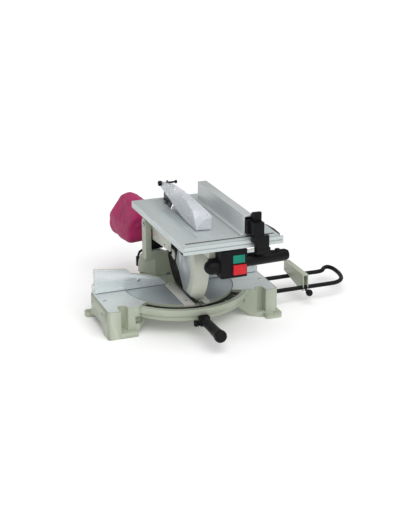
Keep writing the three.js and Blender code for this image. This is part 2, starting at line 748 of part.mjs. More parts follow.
function rivingKnife() {
  const points = [
    ...arc(BLADE_Y, BLADE_Z, BLADE_R + 5, 56, 32, 8),
    [79, 244],
    [104, 244],
    [KNIFE.back, 262],
    [KNIFE.back, 312],
    ...arc(GUARD_PIVOT.y, GUARD_PIVOT.z, 7, 0, 150, 8),
    [44, 322],
  ];
  return cut(
    alongX(points, -KNIFE.half, KNIFE.half),
    rodX(GUARD_PIVOT.y, GUARD_PIVOT.z, 2.9, -5, 5, 12),
  );
}

function topGuard() {
  const outer = [
    [90, 334], [62, 326], [-20, 311], [-87, 293], [-200, 293], [-200, 299],
    [-178, 326], [-139, 343], [-60, 354], [10, 358], [60, 356], [90, 350],
  ];
  const inner = [
    [110, 330], [62, 322], [-20, 302], [-87, 280], [-196, 280], [-196, 298],
    [-175, 323], [-138, 340], [-60, 351], [10, 355], [60, 353.6], [110, 350],
  ];
  return cut(
    alongX(outer, -17, 22),
    alongX(inner, -14.5, 19.5),
    rodX(GUARD_PIVOT.y, GUARD_PIVOT.z, 2.9, -30, 30, 12),
  );
}

function guardKnob() {
  const { y, z } = GUARD_PIVOT;
  const pin = rodX(y, z, 2.6, -20, 26, 12);
  return join(pin, rodX(y, z, 7, -26, -17 - GAP, 12), rodX(y, z, 5, 22 + GAP, 27, 6));
}

// ---- rip fence ----------------------------------------------------------------------------
function ripFence() {
  const section = [[72, 290 + GAP], [105, 290 + GAP], [105, 343], [80, 343], [80, 296], [72, 294]];
  const rule = alongY(section, -262, 60);
  return cut(rule, alongY([[83, 296], [102, 296], [102, 339], [83, 339]], -280, 80));
}

function fenceClamp() {
  const post = roundedBox(90, 118, -306, -272, 296, 334, 3);
  const bridge = box(84, 101, -275, -255, 298, 334);
  const saddle = box(86, 130, -308, -291, 285, 300);
  const drop = box(96, 130, -308, -291, 268, 300);
  return cut(join(post, bridge, saddle, drop), rodZ(104, -280, 3.8, 320, 340, 12));
}

function fenceJaw() {
  return join(box(96, 134, -308, -291, 253, 267.6), box(104, 126, -292, -284, 264.8, 267.6));
}

function fenceKnob() {
  const thumb = alongX([[-288, 334.5], [-264.5, 334.5], [-266, 346], [-275, 355], [-288, 357]], 96, 117);
  return join(rodZ(104, -280, 3.5, 322, 337, 12), thumb);
}

function tableLever() {
  const outlineLever = [
    ...[[TABLE.x1 + GAP, -276], [TABLE.x1 + 7, -272], [TABLE.x1 + 9, -232]],
    ...[[TABLE.x1 + 5, -196], [TABLE.x1 + GAP, -186]],
  ];
  return upright(outlineLever, 276, 289);
}

// ---- assembly -----------------------------------------------------------------------------
function group(...meshes) {
  const made = new THREE.Group();
  made.add(...meshes);
  return made;
}

const base = group(
  node('base_casting', baseCasting(), CAST),
  node('fence_left', mitreFence(-1), ALLOY),
  node('fence_right', mitreFence(1), ALLOY),
  node('mitre_scale', mitreScale(), DARK),
  node('turntable_bolt', turntableBolt(), STEEL),
);
const holder = group(
  node('holder_rods', holderRods(), DARK),
  node('holder_plate', holderPlate(), CAST),
  node('holder_thumbscrew', holderThumbscrew(), DARK),
);
const turning = group(
  node('turntable', turntable(), ALLOY),
  node('turntable_ring', turntableRing(), CAST),
  node('kerf_board_left', kerfBoard(-36.5, KERF.left), CREAM),
  node('kerf_board_right', kerfBoard(KERF.right, 36.5), CREAM),
  node('mitre_pointer', mitrePointer(), STEEL),
  node('grip_bracket', gripBracket(), DARK),
  node('mitre_grip', mitreGrip(), DARK),
  node('mitre_lock_lever', mitreLockLever(), DARK),
  node('bevel_bolt', bevelBolt(), STEEL),
);
const arm = group(
  node('bevel_arm', bevelArm(), CAST),
  node('bevel_lever', bevelLever(), DARK),
  node('head_shaft', headShaft(), STEEL),
  node('head_spring', headSpring(), STEEL),
  node('stop_pin', stopPin(), DARK),
);
const head = group(
  node('blade_case', bladeCase(), CAST),
  node('side_cover', sideCover(), CREAM),
  node('splinter_guard', splinterGuard(), DARK),
  node('lower_guard', lowerGuard(), ALLOY),
  node('gear_housing', gearHousing(), CAST),
  node('motor_housing', motorHousing(), DARK),
  node('motor_end_cap', motorEndCap(), DARK),
  node('stator', stator(), COPPER),
  node('armature', armature(), STEEL),
  node('cooling_fan', coolingFan(), DARK),
);
const cutter = group(
  node('spindle', spindle(), STEEL),
  node('spindle_bearing', spindleBearing(), STEEL),
  node('large_gear', largeGear(), STEEL),
  node('inner_flange', innerFlange(), STEEL),
  node('saw_blade', sawBlade(), STEEL),
  node('outer_flange', outerFlange(), STEEL),
  node('blade_bolt', bladeBolt(), STEEL),
);
const controls = group(
  node('switch_box', switchBox(), DARK),
  node('start_button', switchButton(72, -292, 230 + GAP, 252 - GAP), GREEN),
  node('stop_button', switchButton(75, -296, 201 + GAP, 227 - GAP), RED),
  node('handle_bar', handleBar(), DARK),
  node('trigger', trigger(), DARK),
  node('lock_off_button', lockOffButton(), DARK),
);
const dust = group(
  node('dust_nozzle', dustNozzle(), DARK),
  node('dust_bag', dustBag(), MAGENTA),
);
const table = group(
  node('saw_table', sawTable(), ALLOY),
  node('table_insert', tableInsert(), ALLOY),
  node('front_rail', frontRail(), ALLOY),
  node('table_post_left', tablePost(LEFT_POST, 198), STEEL),
  node('table_post_right', tablePost(RIGHT_POST, 165), STEEL),
  node('table_lever', tableLever(), DARK),
  node('riving_knife', rivingKnife(), STEEL),
  node('top_guard', topGuard(), CLEAR),
  node('guard_knob', guardKnob(), DARK),
);
const ruleGroup = group(
  node('rip_fence', ripFence(), ALLOY),
  node('fence_clamp', fenceClamp(), DARK),
  node('fence_jaw', fenceJaw(), DARK),
  node('fence_knob', fenceKnob(), DARK),
);

const machine = new THREE.Group();
machine.add(base, holder, turning, arm, head, cutter, controls, dust, table, ruleGroup);
machine.position.set(-MIDDLE[0], -MIDDLE[1], -MIDDLE[2]);

const tableTopMitreSaw = new THREE.Group();
tableTopMitreSaw.add(machine);
export default tableTopMitreSaw;
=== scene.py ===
"""Looks of the table-top mitre saw: fine meshes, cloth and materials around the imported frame."""
import bpy
import bmesh
import json
import math
from mathutils import Matrix, Vector, noise


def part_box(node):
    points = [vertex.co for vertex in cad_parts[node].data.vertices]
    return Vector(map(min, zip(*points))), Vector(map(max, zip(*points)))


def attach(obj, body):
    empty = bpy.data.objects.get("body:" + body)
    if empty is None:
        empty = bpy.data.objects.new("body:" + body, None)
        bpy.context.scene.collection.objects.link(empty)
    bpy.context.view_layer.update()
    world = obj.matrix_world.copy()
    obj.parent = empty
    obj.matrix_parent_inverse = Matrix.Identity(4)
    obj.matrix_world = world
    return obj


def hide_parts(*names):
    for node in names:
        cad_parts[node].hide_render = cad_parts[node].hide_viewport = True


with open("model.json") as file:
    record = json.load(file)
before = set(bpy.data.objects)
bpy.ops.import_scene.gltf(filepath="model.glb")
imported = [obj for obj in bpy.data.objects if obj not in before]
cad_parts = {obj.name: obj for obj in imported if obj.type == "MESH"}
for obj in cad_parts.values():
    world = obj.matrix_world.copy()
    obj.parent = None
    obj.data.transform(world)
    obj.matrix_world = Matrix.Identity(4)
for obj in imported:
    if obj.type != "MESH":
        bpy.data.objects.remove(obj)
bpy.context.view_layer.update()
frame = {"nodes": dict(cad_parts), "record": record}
NODES = frame["nodes"]

# ---- places ---------------------------------------------------------------------------------
# The machine's own frame is in millimetres: the turntable's axis at bench level, +X right,
# +Y away from the operator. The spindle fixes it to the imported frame.
SPINDLE = (0, -50, 195)


def middle(node):
    low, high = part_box(node)
    return (low + high) / 2


HOME = middle("saw_blade") - Vector(SPINDLE) / 1000


def at(x, y, z):
    return HOME + Vector((x, y, z)) / 1000


MITRE_TOP = 77
DISC_R = 147
TABLE_TOP = 290
FENCE_Y = 10

# ---- materials ------------------------------------------------------------------------------


def srgb(r, g, b):
    def linear(v):
        v /= 255
        return v / 12.92 if v <= 0.04045 else ((v + 0.055) / 1.055) ** 2.4

    return (linear(r), linear(g), linear(b), 1)


class Look:
    """A node material under construction: a Principled shader with helpers for its inputs."""

    def __init__(self, name, color, rough, metal=0.0):
        self.mat = bpy.data.materials.new(name)
        self.mat.use_nodes = True
        self.tree = self.mat.node_tree
        self.shader = self.tree.nodes["Principled BSDF"]
        self.color = color
        self.shader.inputs["Base Color"].default_value = color
        self.shader.inputs["Roughness"].default_value = rough
        self.shader.inputs["Metallic"].default_value = metal
        self.coords = self.tree.nodes.new("ShaderNodeTexCoord").outputs["Object"]
        self.height = None

    def node(self, kind, **values):
        made = self.tree.nodes.new(kind)
        for key, value in values.items():
            setattr(made, key, value)
        return made

    def link(self, source, target):
        self.tree.links.new(source, target)

    def stretched(self, scale, origin=(0, 0, 0)):
        mapping = self.node("ShaderNodeMapping")
        mapping.inputs["Scale"].default_value = scale
        mapping.inputs["Location"].default_value = [-o * s for o, s in zip(origin, scale)]
        self.link(self.coords, mapping.inputs["Vector"])
        return mapping.outputs["Vector"]

    def noise(self, scale, detail=3.0, vector=None, rough=0.5):
        made = self.node("ShaderNodeTexNoise")
        made.inputs["Scale"].default_value = scale
        made.inputs["Detail"].default_value = detail
        made.inputs["Roughness"].default_value = rough
        self.link(vector or self.coords, made.inputs["Vector"])
        return made.outputs["Fac"]

    def ramp(self, source, low, high, start=0.35, stop=0.65):
        made = self.node("ShaderNodeMapRange")
        made.inputs["From Min"].default_value = start
        made.inputs["From Max"].default_value = stop
        made.inputs["To Min"].default_value = low
        made.inputs["To Max"].default_value = high
        self.link(source, made.inputs["Value"])
        return made.outputs["Result"]

    def vary_color(self, source, other, start=0.3, stop=0.7):
        mix = self.node("ShaderNodeMix", data_type="RGBA")
        mix.inputs["A"].default_value = self.color
        mix.inputs["B"].default_value = other
        self.link(self.ramp(source, 0, 1, start, stop), mix.inputs["Factor"])
        self.link(mix.outputs["Result"], self.shader.inputs["Base Color"])
        return mix

    def vary_rough(self, source, low, high):
        self.link(self.ramp(source, low, high), self.shader.inputs["Roughness"])

    def bump(self, source, strength, distance):
        made = self.node("ShaderNodeBump")
        made.inputs["Strength"].default_value = strength
        made.inputs["Distance"].default_value = distance
        self.link(source, made.inputs["Height"])
        if self.height:
            self.link(self.height, made.inputs["Normal"])
        self.height = made.outputs["Normal"]
        self.link(self.height, self.shader.inputs["Normal"])


def shade(color, factor):
    return tuple(c * factor for c in color[:3]) + (1,)


def cast_paint(name, color, rough=0.42):
    look = Look(name, color, rough)
    look.vary_color(look.noise(14), shade(color, 0.93))
    look.vary_rough(look.noise(60), rough - 0.06, rough + 0.1)
    look.bump(look.noise(900, 4), 0.25, 0.0002)
    look.bump(look.noise(110, 2), 0.12, 0.0006)
    look.shader.inputs["Coat Weight"].default_value = 0.15
    look.shader.inputs["Coat Roughness"].default_value = 0.25
    return look.mat


def brushed(name, color, rough, scale, metal=0.85, depth=0.12):
    """Metal with fine lines; scale is largest across the lines."""
    look = Look(name, color, rough, metal)
    lines = look.noise(1.0, 5, look.stretched(scale), 0.6)
    look.vary_color(lines, shade(color, 0.86))
    look.vary_rough(lines, rough - 0.07, rough + 0.09)
    look.bump(lines, depth, 0.0001)
    return look.mat


def turned_metal(name, color, rough, center, metal=0.8):
    """Metal machined in rings about a vertical axis."""
    look = Look(name, color, rough, metal)
    flat = look.stretched((1, 1, 0), (center.x, center.y, 0))
    length = look.node("ShaderNodeVectorMath", operation="LENGTH")
    look.link(flat, length.inputs[0])
    rings = look.node("ShaderNodeTexNoise", noise_dimensions="1D")
    rings.inputs["Scale"].default_value = 900
    rings.inputs["Detail"].default_value = 3
    look.link(length.outputs["Value"], rings.inputs["W"])
    cloud = look.noise(9, 2)
    look.vary_color(cloud, shade(color, 0.9))
    look.vary_rough(rings.outputs["Fac"], rough - 0.05, rough + 0.07)
    look.bump(rings.outputs["Fac"], 0.1, 0.0001)
    return look.mat


def moulded(name, color, rough, grain=1500, depth=0.2, shine=0.5):
    look = Look(name, color, rough)
    look.shader.inputs["Specular IOR Level"].default_value = shine
    look.vary_color(look.noise(25), shade(color, 1.35))
    look.vary_rough(look.noise(70), rough - 0.05, rough + 0.08)
    look.bump(look.noise(grain, 2), depth, 0.00015)
    return look.mat


def woven(name, color, dark):
    look = Look(name, color, 0.72)
    cloud = look.noise(22, 4)
    look.vary_color(cloud, dark, 0.25, 0.8)
    threads = []
    for axis in ("Y", "Z"):
        wave = look.node("ShaderNodeTexWave", wave_type="BANDS", bands_direction=axis)
        wave.inputs["Scale"].default_value = 480
        wave.inputs["Distortion"].default_value = 0.6
        look.link(look.coords, wave.inputs["Vector"])
        threads.append(wave.outputs["Fac"])
    both = look.node("ShaderNodeMath", operation="ADD")
    look.link(threads[0], both.inputs[0])
    look.link(threads[1], both.inputs[1])
    look.bump(both.outputs["Value"], 0.3, 0.0003)
    look.bump(look.noise(60, 3), 0.35, 0.0015)
    look.shader.inputs["Sheen Weight"].default_value = 0.08
    look.shader.inputs["Sheen Roughness"].default_value = 0.4
    return look.mat


def clear_plastic():
    look = Look("clear_guard", srgb(238, 241, 246), 0.24)
    look.shader.inputs["Transmission Weight"].default_value = 0.4
    look.shader.inputs["IOR"].default_value = 1.3
    look.vary_rough(look.noise(30), 0.2, 0.3)
    return look.mat


CAST = cast_paint("cast_paint", srgb(174, 181, 163))
CREAM = cast_paint("cream_paint", srgb(200, 203, 190), 0.38)
DISC_METAL = turned_metal("turned_disc", srgb(172, 181, 184), 0.4, at(0, 0, 0), 0.45)
WING_METAL = brushed("wing_metal", srgb(212, 219, 218), 0.4, (40, 900, 40), 0.35)
FENCE_METAL = brushed("fence_metal", srgb(222, 228, 230), 0.2, (30, 900, 900), 0.6, 0.03)
TABLE_METAL = brushed("table_metal", srgb(203, 211, 211), 0.38, (900, 14, 400), 0.4)
RULE_METAL = brushed("rule_metal", srgb(212, 217, 217), 0.34, (700, 12, 700), 0.4)
STEEL = brushed("ground_steel", srgb(165, 170, 175), 0.25, (500, 500, 40), 0.95)
BLADE_METAL = brushed("blade_steel", srgb(186, 193, 200), 0.36, (90, 300, 300), 0.5, 0.02)
GUARD_METAL = brushed("guard_metal", srgb(208, 214, 220), 0.34, (60, 300, 60), 0.5, 0.02)
SCREW_METAL = Look("screw_metal", srgb(196, 200, 204), 0.18, 1.0).mat
KERF = moulded("kerf_board", srgb(205, 203, 196), 0.5)
BLACK_PLASTIC = moulded("black_plastic", srgb(15, 15, 17), 0.45, shine=0.14)
GRIP_BLACK = moulded("grip_black", srgb(14, 14, 16), 0.38, 700, shine=0.16)
BLACK_METAL = moulded("black_paint", srgb(16, 16, 18), 0.4, 900, 0.15, 0.14)
# Steel darkened to a dark grey as painted shade: the riving knife stands in the shade under the guard.
KNIFE_STEEL_IN_SHADE = brushed("knife_steel_painted_shade", srgb(74, 77, 80), 0.4, (500, 500, 40), 0.4)
GREEN = moulded("green_button", srgb(20, 118, 98), 0.35, 900, 0.08, 0.2)
RED = moulded("red_button", srgb(182, 34, 42), 0.35, 900, 0.08, 0.2)
BAG = woven("bag_cloth", srgb(176, 26, 96), srgb(138, 16, 72))
CLEAR = clear_plastic()
COPPER = brushed("copper_winding", srgb(180, 106, 62), 0.35, (900, 60, 60), 0.9)
WHITE_MARK = moulded("white_mark", srgb(222, 224, 220), 0.5)
# Dark grey for the printed table scale, and painted shadow for the shadow lines round the disc and under the
# fences.
DARK_PRINT_AND_SHADOW = moulded("dark_print_and_shadow", srgb(34, 36, 38), 0.5, shine=0.2)

# ---- mesh helpers ---------------------------------------------------------------------------


def new_object(name, mesh):
    made = bpy.data.objects.new(name, mesh)
    bpy.context.scene.collection.objects.link(made)
    return made


def from_bmesh(name, bm):
    mesh = bpy.data.meshes.new(name)
    bmesh.ops.recalc_face_normals(bm, faces=bm.faces)
    bm.to_mesh(mesh)
    bm.free()
    return new_object(name, mesh)


def bake(obj):
    """Applies the object's modifiers to its mesh."""
    graph = bpy.context.evaluated_depsgraph_get()
    done = bpy.data.meshes.new_from_object(obj.evaluated_get(graph))
    old = obj.data
    obj.modifiers.clear()
    obj.data = done
    bpy.data.meshes.remove(old)
    return obj


def smooth(obj, angle=34):
    for face in obj.data.polygons:
        face.use_smooth = True
    obj.data.set_sharp_from_angle(angle=math.radians(angle))
    return obj


def rounded(obj, width, segments=2, angle=32):
    """Rounds the sharp edges; width in millimetres."""
    bevel = obj.modifiers.new("round", "BEVEL")
    bevel.width = width / 1000
    bevel.segments = segments
    bevel.limit_method = "ANGLE"
    bevel.angle_limit = math.radians(angle)
    bevel.use_clamp_overlap = True
    bevel.harden_normals = False
    return bake(obj)


def clean(bm):
    bmesh.ops.remove_doubles(bm, verts=bm.verts, dist=1e-5)
    bmesh.ops.dissolve_limit(bm, angle_limit=math.radians(0.8), verts=bm.verts, edges=bm.edges)


def place(obj, body, looks, replaced=(), angle=34):
    smooth(obj, angle)
    obj.data.materials.clear()
    for look in looks if isinstance(looks, (list, tuple)) else [looks]:
        obj.data.materials.append(look)
    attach(obj, body)
    if replaced:
        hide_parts(*replaced)
    return obj


BODY_OF = {n: b for b, group in frame["record"]["behaviour"]["bodies"].items() for n in group}


def refined(node, looks, width=0.8, segments=2, paint=None, soft_edges=None):
    """A finer copy of a CAD node: flats merged, edges rounded, surfaces smoothed.

    soft_edges is (test, width): edges that pass get a larger rounding first.
    paint gives the material's number from a face's normal and centre, in millimetres."""
    bm = bmesh.new()
    bm.from_mesh(NODES[node].data)
    clean(bm)
    if soft_edges:
        test, large = soft_edges
        edges = [e for e in bm.edges if all(test((v.co - HOME) * 1000) for v in e.verts)]
        bmesh.ops.bevel(bm, geom=edges, offset=large / 1000, segments=5, profile=0.5, affect="EDGES",
                        clamp_overlap=True)
    fine = from_bmesh(node + "_fine", bm)
    if width:
        rounded(fine, width, segments)
    place(fine, BODY_OF[node], looks, (node,))
    if paint:
        for face in fine.data.polygons:
            face.material_index = paint(face.normal, (face.center - HOME) * 1000)
    return fine


def prism(points, axis, low, high):
    """A bmesh swept along an axis; points are the other two coordinates, in X, Y, Z order."""
    bm = bmesh.new()
    rings = []
    for level in (low, high):
        ring = []
        for u, v in points:
            where = {"x": (level, u, v), "y": (u, level, v), "z": (u, v, level)}[axis]
            ring.append(bm.verts.new(at(*where)))
        rings.append(ring)
    bm.faces.new(rings[0])
    bm.faces.new(rings[1][::-1])
    for i in range(len(points)):
        k = (i + 1) % len(points)
        bm.faces.new((rings[0][i], rings[0][k], rings[1][k], rings[1][i]))
    return bm


def slab(name, points, axis, low, high, width=0.0, segments=2):
    made = from_bmesh(name, prism(points, axis, low, high))
    if width:
        rounded(made, width, segments)
    return made


def rect(u0, u1, v0, v1):
    return [(u0, v0), (u1, v0), (u1, v1), (u0, v1)]


def ring_points(cu, cv, r, steps=32, start=0.0, sweep=360.0):
    count = steps if sweep == 360 else steps + 1
    return [
        (cu + r * math.cos(math.radians(start + sweep * i / steps)),
         cv + r * math.sin(math.radians(start + sweep * i / steps)))
        for i in range(count)
    ]


def lathe(name, center, axis, profile, steps=40, wave=None):
    """profile is [(radius, height)] turned about the axis through center, in millimetres.

    wave(angle, height) may change the radius, for lobes and flutes."""
    turn = Vector((0, 0, 1)).rotation_difference(Vector(axis)).to_matrix()
    bm = bmesh.new()
    rings = []
    for r, h in profile:
        if r == 0:
            rings.append([bm.verts.new(at(*(Vector(center) + turn @ Vector((0, 0, h)))))])
            continue
        ring = []
        for i in range(steps):
            a = 2 * math.pi * i / steps
            radius = r + (wave(a, h) if wave else 0)
            local = Vector((radius * math.cos(a), radius * math.sin(a), h))
            ring.append(bm.verts.new(at(*(Vector(center) + turn @ local))))
        rings.append(ring)
    for one, two in zip(rings, rings[1:]):
        for i in range(steps):
            k = (i + 1) % steps
            if len(one) == 1:
                bm.faces.new((one[0], two[i], two[k]))
            elif len(two) == 1:
                bm.faces.new((one[i], one[k], two[0]))
            else:
                bm.faces.new((one[i], one[k], two[k], two[i]))
    return from_bmesh(name, bm)


def joined(name, objects):
    bm = bmesh.new()
    for one in objects:
        bm.from_mesh(one.data)
        old = one.data
        bpy.data.objects.remove(one)
        bpy.data.meshes.remove(old)
    mesh = bpy.data.meshes.new(name)
    bm.to_mesh(mesh)
    bm.free()
    return new_object(name, mesh)


def carved(obj, tools):
    """obj with the tool objects cut away, one after another."""
    for tool in tools:
        cutter = obj.modifiers.new("cut", "BOOLEAN")
        cutter.operation = "DIFFERENCE"
        cutter.solver = "EXACT"
        cutter.object = tool
        bake(obj)
        mesh = tool.data
        bpy.data.objects.remove(tool)
        bpy.data.meshes.remove(mesh)
    return obj


def screw(name, center, axis, radius, height=2.2, slot_width=0.9):
    """A round-headed screw with a cross recess."""
    dome = [(0, height)]
    for i in range(1, 7):
        a = math.radians(90 - 15 * i)
        dome.append((radius * math.cos(a), height * math.sin(a)))
    head = lathe(name, center, axis, dome + [(radius, -0.4), (0, -0.4)], 28)
    turn = Vector((0, 0, 1)).rotation_difference(Vector(axis)).to_matrix()
    tools = []
    for across in ((radius * 0.62, slot_width / 2), (slot_width / 2, radius * 0.62)):
        block = bmesh.new()
        bmesh.ops.create_cube(block, size=2)
        for v in block.verts:
            local = Vector((v.co.x * across[0], v.co.y * across[1], height + v.co.z * height * 0.55))
            v.co = at(*(Vector(center) + turn @ local))
        tools.append(from_bmesh("tool", block))
    return carved(head, tools)


# ---- stage: camera, light, floor ------------------------------------------------------------
CAMERA_PLACE = (-1088.8, -3004.7, 1320.0)
CAMERA_TURN = 21.46
CAMERA_FALL = 20.34
LENS = 85.87
SKY = 0.45
SUNS = [  # name, power, spread in degrees, where it stands
    ("overhead", 1.9, 60, (0.05, -0.5, 0.86)),
    ("front", 0.35, 40, (-0.3, -0.75, 0.5)),
]


def stage():
    data = bpy.data.cameras.new("camera")
    data.lens = LENS
    data.sensor_width = 36
    data.sensor_fit = "AUTO"
    data.clip_end = 50
    camera = bpy.data.objects.new("camera", data)
    camera.location = at(*CAMERA_PLACE)
    camera.rotation_euler = (math.radians(90 - CAMERA_FALL), 0, math.radians(-CAMERA_TURN))
    bpy.context.scene.collection.objects.link(camera)
    bpy.context.scene.camera = camera

    bm = bmesh.new()
    bmesh.ops.create_grid(bm, x_segments=1, y_segments=1, size=14)
    floor = from_bmesh("floor", bm)
    floor.location.z = -0.0002
    look = Look("floor_white", (0.93, 0.93, 0.93, 1), 0.9)
    look.shader.inputs["Specular IOR Level"].default_value = 0
    look.shader.inputs["Emission Color"].default_value = (1, 1, 1, 1)
    look.shader.inputs["Emission Strength"].default_value = 0.1
    floor.data.materials.append(look.mat)

    world = bpy.data.worlds.new("studio")
    world.use_nodes = True
    world.node_tree.nodes["Background"].inputs["Color"].default_value = (1, 1, 1, 1)
    world.node_tree.nodes["Background"].inputs["Strength"].default_value = SKY
    bpy.context.scene.world = world
    for name, power, spread, direction in SUNS:
        light = bpy.data.lights.new(name, "SUN")
        light.energy = power
        light.angle = math.radians(spread)
        lamp = bpy.data.objects.new(name, light)
        lamp.rotation_euler = Vector(direction).to_track_quat("Z", "Y").to_euler()
        bpy.context.scene.collection.objects.link(lamp)
    bpy.context.scene.view_settings.view_transform = "Standard"


stage()

# ---- base -----------------------------------------------------------------------------------
UP = 0.8  # normals steeper than this count as level


def base_parts():
    refined("base_casting", CAST, 1.6, 3, soft_edges=(
        lambda p: abs(p.z - MITRE_TOP) < 0.2 and p.xy.length > 189 and abs(p.x) < 189, 4.5))
    for side, name in ((-1, "left"), (1, "right")):
        pad = wing_pad(side)
        place(pad, "base", WING_METAL)
        refined("fence_" + name, [CREAM, FENCE_METAL], 0.7, 2,
                paint=lambda normal, p: 1 if normal.y < -0.9 else 0)
    refined("mitre_scale", BLACK_METAL, 0.4)
    refined("turntable_bolt", STEEL, 0.5)
    scale_marks()
    shadow_lines()
    base_screws()


WING_PADS = {  # corners in front of the pocket, the pocket's centre, corners beside the disc
    -1: ([(-237, -121), (-232, -127), (-208, -127)], (-193, -104),
         [(-178.5, -113), (-152, -113), (-127, -93.5)]),
    1: ([(237, -117), (232.5, -122), (208, -122)], (193, -106),
        [(178.5, -114), (160, -99.8), (127, -92)]),
}


def wing_pad(side):
    """The machined top of a wing, a hair above the paint, with a gap line round the disc."""
    front, pocket, beside = WING_PADS[side]
    start, turn = (180, -180) if side < 0 else (0, 180)
    lobe = ring_points(*pocket, 14.5, 12, start, turn)
    start, turn = (217, -69) if side < 0 else (-37, 69)
    around = ring_points(0, 0, DISC_R + 1.8, 26, start, turn)
    back = [(128 * side, 81), (200 * side, 81), (237 * side, 24.5)]
    name = "wing_pad_left" if side < 0 else "wing_pad_right"
    return slab(name, front + lobe + beside + around + back, "z", MITRE_TOP - 0.3, MITRE_TOP + 0.15)


def shadow_lines():
    """Painted shadow: dark strips in the gap round the disc and along the joint under each fence."""
    pieces = []
    for start in (-34, 148):
        outer = ring_points(0, 0, DISC_R + 1.5, 20, start, 66)
        inner = ring_points(0, 0, DISC_R + 0.2, 20, start + 66, -66)
        pieces.append(slab("disc_gap_shadow", outer + inner, "z", MITRE_TOP - 0.6, MITRE_TOP + 0.05))
    for u0, u1 in ((-231, -34), (34, 231)):
        strip = rect(u0, u1, FENCE_Y - 0.5, FENCE_Y + 0.5)
        pieces.append(slab("fence_joint_shadow", strip, "z", MITRE_TOP, MITRE_TOP + 1.3))
    place(joined("shadow_lines", pieces), "base", DARK_PRINT_AND_SHADOW)


def scale_marks():
    """Degree marks in the dark channel in front of the disc."""
    marks = []
    for degrees in range(-50, 51, 5):
        long = degrees % 15 == 0
        r0, r1 = (160 if long else 166), 175
        a = math.radians(270 + degrees)
        half = 0.35
        across = Vector((-math.sin(a), math.cos(a)))
        along = Vector((math.cos(a), math.sin(a)))
        corners = [along * r0 - across * half, along * r1 - across * half,
                   along * r1 + across * half, along * r0 + across * half]
        marks.append(from_bmesh("mark", prism([(c.x, c.y) for c in corners], "z", 69.8, 70.15)))
    place(joined("mitre_scale_marks", marks), "base", WHITE_MARK)


def base_screws():
    places = [
        ("wing_screw_left", (-222, -44, MITRE_TOP), (0, 0, 1), 5),
        ("wing_screw_right", (222, -44, MITRE_TOP), (0, 0, 1), 5),
        ("fence_bolt_left", (-112, FENCE_Y, 101), (0, -1, 0), 5),
        ("fence_bolt_right", (112, FENCE_Y, 101), (0, -1, 0), 5),
    ]
    for name, center, axis, radius in places:
        place(screw(name, center, axis, radius), "base", SCREW_METAL)


base_parts()

# ---- stock holder ---------------------------------------------------------------------------
ROD_R = 6
ROD_Z = 40
ROD_START = 188
ROD_LOOP = [
    (430, -60), (450, -58), (468, -48), (482, -28), (491, 6), (492, 44),
    (484, 62), (470, 58), (456, 42), (440, 37), (420, 37),
]


def spline_points(points, steps, closed=False):
    """Catmull-Rom through the points, as a list of Vectors."""
    pts = [Vector(p) for p in points]
    count = len(pts)
    out = []
    spans = count if closed else count - 1
    for i in range(spans):
        p0 = pts[i - 1] if closed or i > 0 else pts[0]
        p1, p2 = pts[i], pts[(i + 1) % count]
        p3 = pts[(i + 2) % count] if closed or i + 2 < count else pts[-1]
        for s in range(steps):
            t = s / steps
            out.append(0.5 * ((2 * p1) + (p2 - p0) * t + (2 * p0 - 5 * p1 + 4 * p2 - p3) * t * t
                              + (3 * p1 - p0 - 3 * p2 + p3) * t ** 3))
    if not closed:
        out.append(pts[-1])
    return out


def swept(name, route, radius, sides=20):
    """A round bar with flat ends along a list of points, in millimetres."""
    bm = bmesh.new()
    rings = []
    up = Vector((0, 0, 1))
    for i, here in enumerate(route):
        ahead = route[min(i + 1, len(route) - 1)] - route[max(i - 1, 0)]
        ahead.normalize()
        side = ahead.cross(up).normalized()
        lift = side.cross(ahead)
        ring = []
        for k in range(sides):
            a = 2 * math.pi * k / sides
            ring.append(bm.verts.new(at(*(here + radius * (math.cos(a) * side + math.sin(a) * lift)))))
        rings.append(ring)
    for one, two in zip(rings, rings[1:]):
        for k in range(sides):
            n = (k + 1) % sides
            bm.faces.new((one[k], one[n], two[n], two[k]))
    bm.faces.new(rings[0])
    bm.faces.new(rings[-1][::-1])
    return from_bmesh(name, bm)


def holder():
    bend = spline_points([(x, y, ROD_Z) for x, y in ROD_LOOP], 7)
    route = [Vector((ROD_START, ROD_LOOP[0][1], ROD_Z))] + bend + [
        Vector((ROD_START, ROD_LOOP[-1][1], ROD_Z))]
    place(swept("holder_rods_fine", route, ROD_R), "stock_rods", BLACK_METAL, ("holder_rods",))
    refined("holder_plate", CAST, 0.8)
    knob = lathe("holder_screw_fine", (352, -66.5, 34), (0, -1, 0),
                 [(0, 0), (3, 0), (3, 17), (8.2, 18), (9, 20), (9, 27.5), (7.5, 30), (0, 30.4)], 48,
                 lambda a, h: 0.5 * math.cos(8 * a) if h > 17.5 and h < 29 else 0)
    place(knob, "stock_screw", BLACK_PLASTIC, ("holder_thumbscrew",))


holder()

# ---- turntable ------------------------------------------------------------------------------


